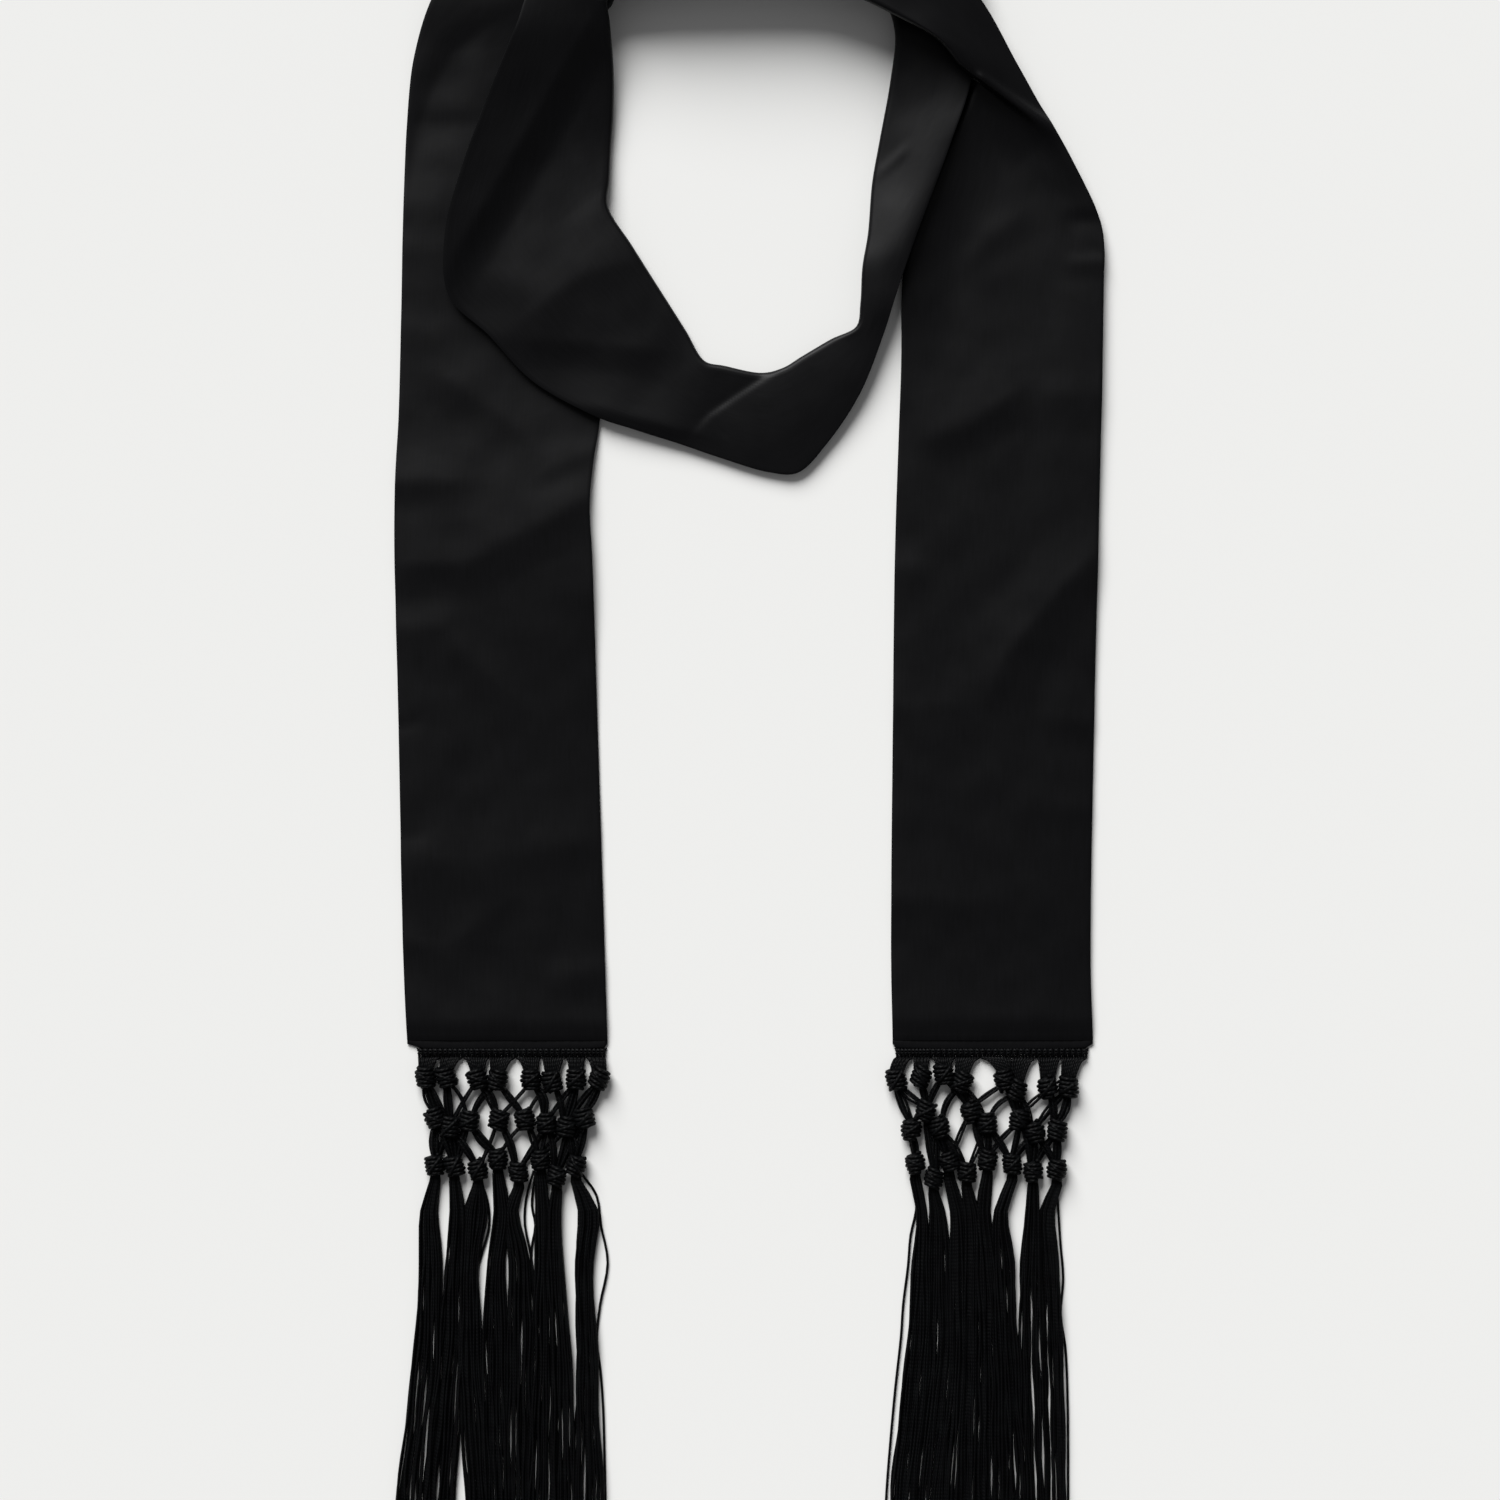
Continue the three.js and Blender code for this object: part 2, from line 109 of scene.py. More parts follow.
def black_polyester_satin():
    """Warp-faced satin: long floats lie side by side, so the face is smooth, and light spreads across
    them into a soft sheen with faint streaks along the strip."""
    material, tree, shader = new_material("black polyester satin")
    place = add_node(tree, "ShaderNodeUVMap", {"uv_map": "cloth"})
    # Floats are about 0.15 mm wide, too fine to show, so the streaks are drawn 0.8 mm wide and 12 mm long
    streak_place = add_node(tree, "ShaderNodeMapping", {"Scale": (1 / 0.0008, 1 / 0.012, 1)},
                            {"Vector": place.outputs["UV"]})
    streaks = add_node(tree, "ShaderNodeTexNoise", {"Scale": 1, "Detail": 3},
                       {"Vector": streak_place.outputs["Vector"]})
    # The cloth was pressed and handled, which leaves shallow waves about 15 mm across
    waves = add_node(tree, "ShaderNodeTexNoise", {"Scale": 1 / 0.015, "Detail": 2},
                     {"Vector": place.outputs["UV"]})
    streak_bump = add_node(tree, "ShaderNodeBump", {"Strength": 0.12, "Distance": 0.0001},
                           {"Height": streaks.outputs["Fac"]})
    wave_bump = add_node(tree, "ShaderNodeBump", {"Strength": 0.15, "Distance": 0.0006},
                         {"Height": waves.outputs["Fac"], "Normal": streak_bump.outputs["Normal"]})
    tone = add_node(tree, "ShaderNodeValToRGB", None, {"Fac": streaks.outputs["Fac"]})
    tone.color_ramp.elements[0].position = 0.3
    tone.color_ramp.elements[0].color = colour("#020203")
    tone.color_ramp.elements[1].position = 0.7
    tone.color_ramp.elements[1].color = colour("#050507")
    gloss = add_node(tree, "ShaderNodeMapRange", {"To Min": 0.4, "To Max": 0.5},
                     {"Value": waves.outputs["Fac"]})
    tree.links.new(tone.outputs["Color"], shader.inputs["Base Color"])
    tree.links.new(gloss.outputs["Result"], shader.inputs["Roughness"])
    tree.links.new(wave_bump.outputs["Normal"], shader.inputs["Normal"])
    shader.inputs["IOR"].default_value = 1.5
    shader.inputs["Specular IOR Level"].default_value = 0.165
    shader.inputs["Sheen Weight"].default_value = 0.005
    shader.inputs["Sheen Roughness"].default_value = 0.4
    shader.inputs["Sheen Tint"].default_value = colour("#C9D2E6")
    return material


def black_viscose_cord():
    """Three-ply viscose cord, twisted and dyed through. It looks darker than the satin, because it has less
    gloss, and each turn of the twist catches a small glint."""
    material, tree, shader = new_material("black viscose cord")
    place = add_node(tree, "ShaderNodeUVMap", {"uv_map": "cord"})
    axes = add_node(tree, "ShaderNodeSeparateXYZ", None, {"Vector": place.outputs["UV"]})
    # The plies make a full turn every 4.5 mm, so the eye sees a ridge every 1.5 mm
    plies = 3
    ridge = 0.0015
    around = add_node(tree, "ShaderNodeMath", {"operation": "MULTIPLY", 1: plies * 2 * math.pi},
                      {0: axes.outputs["X"]})
    along = add_node(tree, "ShaderNodeMath", {"operation": "MULTIPLY_ADD", 1: 2 * math.pi / ridge},
                     {0: axes.outputs["Y"], 2: around.outputs["Value"]})
    ridges = add_node(tree, "ShaderNodeMath", {"operation": "SINE"}, {0: along.outputs["Value"]})
    twist = add_node(tree, "ShaderNodeBump", {"Strength": 0.5, "Distance": 0.00012},
                     {"Height": ridges.outputs["Value"]})
    # Dye takes a little unevenly from one length of cord to the next
    spot = add_node(tree, "ShaderNodeTexCoord")
    dye = add_node(tree, "ShaderNodeTexNoise", {"Scale": 1 / 0.006, "Detail": 2},
                   {"Vector": spot.outputs["Object"]})
    tone = add_node(tree, "ShaderNodeValToRGB", None, {"Fac": dye.outputs["Fac"]})
    tone.color_ramp.elements[0].position = 0.35
    tone.color_ramp.elements[0].color = colour("#030304")
    tone.color_ramp.elements[1].position = 0.7
    tone.color_ramp.elements[1].color = colour("#070809")
    tree.links.new(tone.outputs["Color"], shader.inputs["Base Color"])
    tree.links.new(twist.outputs["Normal"], shader.inputs["Normal"])
    shader.inputs["Roughness"].default_value = 0.5
    shader.inputs["Specular IOR Level"].default_value = 0.085
    return material


def matt_paper():
    """Uncoated paper for the floor: pale and even, with no glint, so that only the shadows show on it."""
    material, _, shader = new_material("matt pale paper")
    shader.inputs["Base Color"].default_value = colour("#EEEEEC")
    shader.inputs["Roughness"].default_value = 0.9
    shader.inputs["Specular IOR Level"].default_value = 0.1
    return material


# The band's sections in millimetres, from the left hem round the neck to the right hem. Each row gives the
# outer edge, away from the neck, and the inner edge in plan, the heights of both edges, how far the section
# rises between them, where across it does so, and the height of the part folded under its inner edge, which
# is OPEN where nothing is folded under.
BAND_WIDTH = 80
BAND_END_Y = -116
FLAT = 0.8
OPEN = None
SECTION_COLUMNS = ("out_x", "out_y", "in_x", "in_y", "out_z", "in_z", "rise", "rise_at", "under_z")
LEFT_TAIL = [
    (-137, BAND_END_Y, -57, BAND_END_Y, FLAT, FLAT, 0, 0.5, OPEN),
    (-138.5, -84, -58, -84, FLAT, FLAT, 0, 0.5, OPEN),
    (-140.5, 12, -61, 12, FLAT, FLAT, 0, 0.5, OPEN),
    (-142, 78, -63, 78, FLAT, 3.4, 0, 0.5, OPEN),
    (-142, 98, -64, 98, FLAT, 3, 0, 0.5, OPEN),
    (-141.4, 116, -62.4, 116, FLAT, 1.8, 0, 0.5, OPEN),
    (-140.5, 132, -60, 132, FLAT, FLAT, 0, 0.5, OPEN),
    (-139.5, 168, -60, 168, FLAT, FLAT, 0, 0.5, OPEN),
    (-138.5, 215, -61, 215, 1.3, FLAT, 0, 0.5, OPEN),
    (-137, 252, -60, 252, 1.8, FLAT, 0, 0.5, OPEN),
    (-134, 277, -58, 277, 3, 2.4, 0, 0.5, OPEN),
]
BEHIND_NECK_LOWER = [
    (-126.5, 300, -56, 296.5, 5.4, 6, 0, 0.5, 1.2),
    (-112, 322, -54, 299.6, 6.6, 7.5, 0.5, 0.5, 1.2),
    (-85, 341, -46, 302.6, 6.6, 9.5, 1.5, 0.5, 1.2),
    (-50, 350, -28, 304, 6, 10.5, 1.5, 0.5, 1.2),
    (-5, 353, -3, 304.6, 6, 11, 1.5, 0.5, 1.2),
    (40, 350, 22, 304, 6, 11, 1.5, 0.5, 1.2),
    (70, 338, 42, 301.4, 6.5, 10.5, 1.2, 0.5, 1.2),
    (86, 320, 54, 296, 8, 11.4, 0.8, 0.5, 1.4),
    (91, 300, 58, 285, 9.2, 11.6, 0.3, 0.5, 1.8),
]
RIGHT_SIDE = [
    (87.6, 265, 56.5, 267, 8.8, 8, 0.2, 0.5, 2.2),
    (80, 242, 52, 242, 10.2, 6.6, 0.8, 0.4, 2.2),
    (73.2, 223.6, 49.2, 226, 10.6, 6.6, 1.1, 0.38, 2.4),
    (66, 204.8, 47.4, 205, 11, 8.8, 1.1, 0.38, 2.6),
    (61, 190, 45.2, 192, 10.9, 9.7, 0.7, 0.5, 2.6),
    (56.8, 177, 44.4, 177.5, 9.8, 9.2, 0.4, 0.5, 2.4),
    (53.6, 166.8, 42.8, 168.4, 8, 8.6, 0.2, 0.5, 2.2),
]
FRONT = [
    (44, 142.4, 32.4, 163.2, 5.4, 7.4, 0.2, 0.5, 1.4),
    (30.8, 122.4, 20.8, 156.4, 3.6, 6.8, 0.4, 0.5, 1.2),
    (19, 110.6, 13.5, 152, 3, 6.4, 0.5, 0.5, 1.2),
    (8, 110.8, 4.8, 150, 2.8, 6, 0.5, 0.5, 1.2),
    (-13.6, 117.2, -10.4, 152.8, 3, 5.2, 0.4, 0.5, 1.2),
    (-28.8, 122.4, -18.4, 154.8, 3.4, 4.8, 0.4, 0.5, 1.2),
    (-48, 128.4, -26, 167, 4, 4.4, 0.4, 0.5, 1.6),
]
LEFT_SIDE = [
    (-60, 132.4, -33, 178, 4.2, 4.8, 0.5, 0.5, 2),
    (-86.4, 146.8, -47, 200, 4.4, 4.9, 0.4, 0.5, 2.1),
    (-104.4, 165.6, -57.2, 216.8, 5, 4.6, 0.3, 0.5, 2.2),
    (-120, 180.8, -56.6, 227, 6, 4.3, 0, 0.5, 2.2),
    (-121.2, 205.2, -56, 240, 7.6, 4.3, -0.4, 0.4, 2.3),
    (-115.2, 228.4, -55, 254, 9.6, 5.6, -0.8, 0.4, 2.6),
    (-104.4, 257.2, -54.8, 271, 12.4, 9, -1.2, 0.45, 4.6),
    (-92.4, 285.6, -56, 288, 16.6, 15, -1, 0.5, 9.6),
]
BEHIND_NECK_UPPER = [
    (-85, 304, -56.5, 297, 17.5, 18, 0, 0.5, 13),
    (-62, 324, -45, 301.8, 19.5, 22.5, 1, 0.5, 15),
    (-30, 338, -22, 304.2, 20.5, 25, 2, 0.5, 15.5),
    (0, 342, 0, 304.8, 20.5, 25.4, 2.4, 0.5, 15.5),
    (32, 338, 20, 304.2, 20, 25.6, 2, 0.5, 15.5),
    (60, 325, 37, 298.8, 18, 25.6, 1.4, 0.5, 14.5),
    (89.2, 300, 55.4, 290.6, 13.6, 24, 0.6, 0.5, 12),
]
RIGHT_SHOULDER = [
    (106, 272.4, 74.5, 280.4, 9.6, 21, 0.5, 0.5, 7.4),
    (114, 258.6, 83.4, 271, 8, 17, 0.5, 0.5, 5.4),
    (120.6, 247.6, 89.6, 266.4, 6.4, 12.4, 0.5, 0.5, 3.6),
    (127.2, 236.6, 84, 271, 4.6, 4.2, 0.2, 0.5, OPEN),
    (139.6, 211.6, 79, 261, 3, 1.6, 0, 0.5, OPEN),
    (141.4, 200, 73, 243, 3.2, FLAT, -0.3, 0.5, OPEN),
    (141.2, 190, 65, 217, 3.4, FLAT, -0.5, 0.5, OPEN),
    (141, 178, 60.8, 187, 3.5, FLAT, -0.6, 0.5, OPEN),
]
RIGHT_TAIL = [
    (140.6, 152, 60.4, 155, 3.5, FLAT, -0.6, 0.5, OPEN),
    (139, 81, 58, 81, 2.6, FLAT, -0.3, 0.5, OPEN),
    (137.6, 20, 57.2, 20, 1.6, FLAT, 0, 0.5, OPEN),
    (136, -84, 56.4, -84, 1.4, FLAT, 0, 0.5, OPEN),
    (137, BAND_END_Y, 57, BAND_END_Y, FLAT, FLAT, 0, 0.5, OPEN),
]
STRETCHES = {
    "left_tail": LEFT_TAIL,
    "behind_neck_lower": BEHIND_NECK_LOWER,
    "right_side": RIGHT_SIDE,
    "front": FRONT,
    "left_side": LEFT_SIDE,
    "behind_neck_upper": BEHIND_NECK_UPPER,
    "right_shoulder": RIGHT_SHOULDER,
    "right_tail": RIGHT_TAIL,
}

# Folds in the cloth, in millimetres. Each row gives the way of a crest in plan, its rise, and how far it
# reaches above the way and below it, which on a way that runs upwards are its left and its right. A fold
# that goes down has a rise under zero. The cloth bends within about CREST of the way, or within the distance
# that ends the row. From there it falls away, and the larger FLATTENING is, the sooner it is flat. A fold
# dies away over END_SHARE of its way at each end.
CREST = 1.5
END_SHARE = 0.35
FLATTENING = 1.7
FOLD_COLUMNS = ("way", "rise", "above", "below", "crest")
LEFT_TAIL_FOLDS = [
    ([(-138, 214), (-132.5, 246), (-127, 263), (-118, 278), (-105, 288), (-84, 298)], -1.2, 9, 26, 2),
    ([(-118, 240), (-110, 268), (-101, 304)], 0.4, 12, 9, 3),
    ([(-150, 250.4), (-124, 250.4), (-96, 250.4)], -0.3, 5, 15),
    ([(-143, 201), (-133, 201), (-118, 198)], 0.25, 10, 10),
    ([(-143, 167.5), (-133, 167), (-118, 165)], 0.3, 12, 12),
    ([(-138, 160), (-127.8, 152.5), (-111.7, 142.4), (-95.5, 130.3), (-74, 110)], 0.8, 18, 13),
    ([(-94, 104), (-75, 114), (-50, 126)], 0.25, 10, 5),
    ([(-170, 107), (-126, 107), (-98, 107)], 0.8, 22, 11),
    ([(-170, 73), (-128, 74.8), (-112.7, 75), (-100.5, 82), (-82.4, 91), (-34, 119)], 1.1, 54, 15),
    ([(-160, 47), (-122.8, 48.6), (-112.7, 36.4), (-100.5, 25.3), (-78, 6)], 0.6, 11, 19),
    ([(-146, 9), (-138, 10), (-128, 12)], -0.3, 4, 5),
    ([(-146, -35), (-136, -34.5), (-125, -33)], -0.35, 16, 5),
    ([(-170, -42), (-116.7, -45.4), (-96.5, -41.3), (-30, -32)], 0.6, 22, 24),
    ([(-134, -88), (-110.7, -71.2), (-85, -52)], 0.3, 14, 8),
    ([(-146, -75.5), (-134, -77.5), (-120, -80.5)], 0.3, 8, 8),
    ([(-86, -92.5), (-68, -89), (-44, -86)], 0.4, 10, 12),
    ([(-220, -110), (-110, -109), (-85, -109), (30, -110)], 0.8, 26, 7.5),
]
LOOP_FOLDS = [
    ([(-134, 166), (-116.3, 199.6), (-95, 236), (-74.3, 272), (-50, 312)], 3.2, 180, 13),
    ([(-118, 172), (-106, 193.6), (-84, 231), (-64, 266), (-52, 288)], -0.6, 22, 50, 8),
    ([(-104, 160), (-92, 170), (-78, 182), (-64, 191), (-30, 199)], 2.1, 200, 26),
    ([(-116, 167), (-96, 164.5), (-64, 162.5), (-20, 158)], 1.2, 140, 11),
    ([(-80, 141), (-45, 132), (-10, 124)], 1.25, 15, 6),
    ([(-72, 242), (-64, 229), (-54, 214)], 0.2, 2.5, 2.5, 0.8),
    ([(-28, 118), (-15.6, 132.4), (-3, 141), (9.6, 149.2), (34, 166)], 0.8, 2.2, 22, 0.5),
    ([(-30, 114), (-16.6, 131.8), (-4, 140.6), (8.6, 149.6), (21, 159.6), (33, 167), (56, 181)],
     -1.75, 20, 22, 1),
    ([(48, 226), (57, 234), (66, 242)], 0.25, 2.5, 3, 0.8),
]
RIGHT_TAIL_FOLDS = [
    ([(58, 120), (58, 168), (64, 200), (72, 222), (82, 246), (91, 264), (104, 256), (120, 247), (134, 222),
      (143, 204), (150, 186)], 3.2, 4, 22),
    ([(80, 188), (95, 204), (116, 219)], 0.5, 16, 9),
    ([(122, 211), (134, 211.5), (150, 212)], -0.7, 4, 10),
    ([(122, 194), (134, 194.5), (152, 195)], 0.5, 5, 7),
    ([(58, 121), (74.2, 125.7), (88.4, 130.7), (102, 140), (118, 154)], 1.3, 46, 13),
    ([(106, 144), (124, 142), (156, 140.5)], 0.6, 30, 16),
    ([(90, 4), (96, 22), (101, 36), (112, 50), (124, 64), (156, 94)], 1.3, 20, 18),
    ([(110, 16), (124, 12), (156, 9)], 0.6, 20, 10),
    ([(30, 15.2), (62, 17), (84, 18.4), (104, 22)], 0.5, 16, 18),
    ([(88, 20), (95, 4), (105, -24), (113, -48), (124, -72), (142, -98)], 0.6, 12, 14),
    ([(114, -20), (128, -22), (156, -24)], 0.4, 16, 12),
    ([(30, -58), (76, -60), (110, -63)], 0.5, 18, 18),
    ([(44, 73.5), (62, 73), (78, 71)], 0.35, 12, 9),
    ([(-30, -109), (85, -107.6), (110, -107.6), (220, -109)], 0.8, 26, 7.5),
]
FOLDS = {
    "left_tail": LEFT_TAIL_FOLDS,
    "left_side": LOOP_FOLDS,
    "front": LOOP_FOLDS,
    "right_side": LOOP_FOLDS,
    "right_shoulder": RIGHT_TAIL_FOLDS,
    "right_tail": RIGHT_TAIL_FOLDS,
}

# How finely the band is divided, across and along, in parts and in millimetres
ACROSS = 50
STEP = {"front": 1.2, "left_side": 1.8}
PLAIN_STEP = 2.5
# The strip's length is measured along this thread, a third of the way across
MEASURED_THREAD = ACROSS // 3
# Air between the two layers lifts the middle of the flat strip by this much
PUFF = 0.5
# Where a part is folded under, the top takes TOP_SHARE of the points across, the bend BEND_SHARE, and the
# part folded under takes the rest. The folds of the top fade out over FOLD_FADE past the bend.
TOP_SHARE = 0.68
BEND_SHARE = 0.12
FOLD_FADE = 0.1
# The bend is this round where the layers leave room for it
BEND_RADIUS = 1.2
SHORTEST_TUCK = 2
# The part folded under stays this far from the outer edge
TUCK_CLEARANCE = 6
# Two layers of satin with the air between them
SATIN_THICKNESS = 1.1
# Pressed satin never lies quite even: how deep the small sags are, and how wide, in plan and in height
SAG = 0.25
SAG_WIDTH = 14
SAG_HEIGHT = 9


def named(columns, rows):
    """A table's rows with its columns' names."""
    return [dict(zip(columns, row)) for row in rows]


def risen(start, end, share, section):
    """A point between two edges, with a rise of a sine's shape whose peak is at rise_at."""
    point = start.lerp(end, share)
    skew = math.log(0.5) / math.log(section["rise_at"])
    point.z += section["rise"] * math.sin(math.pi * share ** skew)
    return point


def section_point(section, across):
    """A point of a section's middle line. across is 0 at the outer edge, and 1 at the other free edge."""
    outer = Vector((section["out_x"], section["out_y"], section["out_z"]))
    inner = Vector((section["in_x"], section["in_y"], section["in_z"]))
    if section["under_z"] is OPEN:
        return risen(outer, inner, across, section)
    inward = Vector((inner.x - outer.x, inner.y - outer.y, 0))
    width = inward.length
    inward.normalize()
    bend = min((section["in_z"] - section["under_z"]) / 2, BEND_RADIUS)
    tuck = max(bend + SHORTEST_TUCK, min(BAND_WIDTH - width, width - TUCK_CLEARANCE))
    shoulder = inner - inward * bend
    if across <= TOP_SHARE:
        return risen(outer, shoulder, across / TOP_SHARE, section)
    if across <= TOP_SHARE + BEND_SHARE:
        turn = math.pi * (across - TOP_SHARE) / BEND_SHARE
        return shoulder + inward * bend * math.sin(turn) - Vector((0, 0, bend * (1 - math.cos(turn))))
    share = (across - TOP_SHARE - BEND_SHARE) / (1 - TOP_SHARE - BEND_SHARE)
    turned_z = section["in_z"] - 2 * bend
    under = shoulder - inward * max(tuck - bend, 1) * share
    under.z = turned_z + (section["under_z"] - turned_z) * share
    return under


def spline_point(points, i, share):
    """A point of the centripetal Catmull-Rom curve through points, share of the way from i to i + 1."""
    last = len(points) - 1
    before = points[i - 1] if i else points[0] * 2 - points[1]
    after = points[i + 2] if i + 2 <= last else points[last] * 2 - points[last - 1]
    a, b, c, d = before, points[i], points[i + 1], after
    knots = [0.0]
    for first, second in ((a, b), (b, c), (c, d)):
        knots.append(knots[-1] + max((second - first).length, 1e-6) ** 0.5)
    t = knots[1] + (knots[2] - knots[1]) * share

    def between(p, q, low, high):
        return p + (q - p) * ((t - low) / (high - low))

    ab = between(a, b, knots[0], knots[1])
    bc = between(b, c, knots[1], knots[2])
    cd = between(c, d, knots[2], knots[3])
    abc = between(ab, bc, knots[0], knots[2])
    bcd = between(bc, cd, knots[1], knots[3])
    return between(abc, bcd, knots[1], knots[2])


def laid_out(row):
    """A fold's row with the runs of its way, each with its length and the distance before it."""
    fold = dict(zip(FOLD_COLUMNS, row))
    points = [Vector(point) for point in fold["way"]]
    fold["runs"] = []
    fold["length"] = 0
    for start, end in zip(points, points[1:]):
        run = end - start
        fold["runs"].append((start, run, run.length, fold["length"]))
        fold["length"] += run.length
    reach = max(fold["above"], fold["below"])
    fold["low"] = Vector((min(p.x for p in points) - reach, min(p.y for p in points) - reach))
    fold["high"] = Vector((max(p.x for p in points) + reach, max(p.y for p in points) + reach))
    return fold


def fold_height(folds, place):
    """Height that the folds add at a place. A fold dies away towards both of its ends."""
    total = 0
    for fold in folds:
        low, high = fold["low"], fold["high"]
        if not (low.x < place.x < high.x and low.y < place.y < high.y):
            continue
        choices = []
        for start, run, length, before in fold["runs"]:
            off = place - start
            share = min(max(off.dot(run) / length ** 2, 0), 1)
            side = (run.x * off.y - run.y * off.x) / length
            gap = round((off - run * share).length, 5)
            # Round a corner of the way two runs are equally near. The one more to the side tells which side.
            choices.append((gap, -abs(side), side > 0, before + share * length))
        gap, _, above, along = min(choices)
        crest = fold.get("crest", CREST)
        gap = math.hypot(gap, crest) - crest
        reach = fold["above"] if above else fold["below"]
        if gap >= reach:
            continue
        to_end = min(min(along, fold["length"] - along) / (END_SHARE * fold["length"]), 1)
        taper = to_end * to_end * (3 - 2 * to_end)
        total += fold["rise"] * taper * (1 - gap / reach) ** FLATTENING
    return total


def puff_height(share, share_along, folded):
    """Height that air adds to the flat strip. It fades out along the step where the strip starts to fold."""
    whole = PUFF * (1 - abs(2 * share - 1) ** 5)
    folded_before, folded_after = folded
    if folded_before and folded_after:
        return 0
    if folded_after:
        return whole * (1 - share_along)
    return whole * share_along if folded_before else whole


def band_rows():
    """Rows of points of the band's middle surface, with each row's distance along the band."""
    sections = []
    stretch_of = []
    for stretch, rows in STRETCHES.items():
        sections += named(SECTION_COLUMNS, rows)
        stretch_of += [stretch] * len(rows)
    folds = {stretch: [laid_out(row) for row in rows] for stretch, rows in FOLDS.items()}
    threads = [[section_point(s, k / ACROSS) for s in sections] for k in range(ACROSS + 1)]
    measured = threads[MEASURED_THREAD]
    rows = []
    distance = 0
    last = len(sections) - 2
    for i in range(last + 1):
        run = (measured[i + 1] - measured[i]).length
        parts = math.ceil(run / STEP.get(stretch_of[i], PLAIN_STEP))
        here = folds.get(stretch_of[i], [])
        folded = [sections[j]["under_z"] is not OPEN for j in (i, i + 1)]
        for j in range(parts + (i == last)):
            share_along = j / parts
            points = [spline_point(thread, i, share_along) for thread in threads]
            for k, point in enumerate(points):
                share = k / ACROSS
                fade = 1
                if any(folded):
                    fade = min(max((TOP_SHARE + BEND_SHARE + FOLD_FADE - share) / FOLD_FADE, 0), 1)
                folds_here = fold_height(here, Vector((point.x, point.y)))
                point.z += puff_height(share, share_along, folded) + fade * folds_here
            rows.append((distance + run * j / parts, points))
        distance += run
    return rows


def finished(name, mesh, material):
    """An object for a finished mesh, at the origin, riding on the scarf's body."""
    for face in mesh.polygons:
        face.use_smooth = True
    piece = bpy.data.objects.new(name, mesh)
    bpy.context.collection.objects.link(piece)
    mesh.materials.clear()
    mesh.materials.append(material)
    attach(piece, "root")
    return piece


def satin_ribbon(material):
    """The satin strip, and its length as it lies: a grid laid over the band's rows, given its thickness."""
    rows = band_rows()
    count = len(rows)
    bm = bmesh.new()
    bmesh.ops.create_grid(bm, x_segments=ACROSS, y_segments=count - 1, size=0.5)
    cloth = bm.loops.layers.uv.new("cloth")
    spot = {}
    for vert in bm.verts:
        k = round((vert.co.x + 0.5) * ACROSS)
        i = round((vert.co.y + 0.5) * (count - 1))
        distance, points = rows[i]
        spot[vert] = (BAND_WIDTH * MM * k / ACROSS, distance * MM)
        p = points[k]
        sag = SAG * noise.noise(Vector((p.x / SAG_WIDTH, p.y / SAG_WIDTH, p.z / SAG_HEIGHT)))
        vert.co = placed(p.x, p.y, max(p.z + sag, SATIN_THICKNESS / 2))
    for face in bm.faces:
        for loop in face.loops:
            loop[cloth].uv = spot[loop.vert]
    bmesh.ops.reverse_faces(bm, faces=bm.faces)
    mesh = bpy.data.meshes.new("satin_ribbon")
    bm.to_mesh(mesh)
    bm.free()
    ribbon = finished("satin_ribbon", mesh, material)
    wall = ribbon.modifiers.new("two layers of satin", "SOLIDIFY")
    wall.thickness = SATIN_THICKNESS * MM
    wall.offset = 0
    seam = ribbon.modifiers.new("rounded seam", "BEVEL")
    seam.width = 0.35 * MM
    seam.segments = 2
    seam.limit_method = "ANGLE"
    seam.angle_limit = math.radians(50)
    return ribbon, rows[-1][0]


# The fringe, in millimetres. Knots are given by their middles, in three rows, from the left of each end to
# its right.
KNOT_COLUMNS = ("first_x", "first_y", "second_x", "second_y", "head_x", "head_y")
LEFT_KNOTS = [
    (-129.4, -130.6, -125.6, -147, -125.8, -165.6),
    (-121.2, -130.6, -119.8, -150.2, -118, -166),
    (-108.8, -131, -112, -148, -108.6, -167.4),
    (-100.8, -131.8, -100.2, -147.6, -100.6, -163.2),
    (-87.4, -131.4, -89.8, -147.4, -92.4, -168.4),
    (-79, -132.2, -81.2, -149, -83.6, -163.8),
    (-69.4, -131.2, -73.4, -150.4, -77.2, -170),
    (-60.2, -131, -66, -147, -69.4, -165.8),
]
RIGHT_KNOTS = [
    (58.4, -131.6, 64.4, -151.2, 66, -164.8),
    (68.2, -130.4, 70.2, -144, 73.4, -170.8),
    (77.4, -129.4, 75.6, -150.4, 79.6, -164.4),
    (84.6, -132.6, 88.2, -144.2, 86.6, -168.4),
    (101.6, -131.6, 94.6, -148.8, 94.8, -163.6),
    (106.4, -135.6, 107.6, -147.2, 104.6, -165.2),
    (118.8, -134.4, 113.6, -152.4, 113, -168),
    (127, -134.4, 122.6, -151.6, 122.4, -167.4),
]
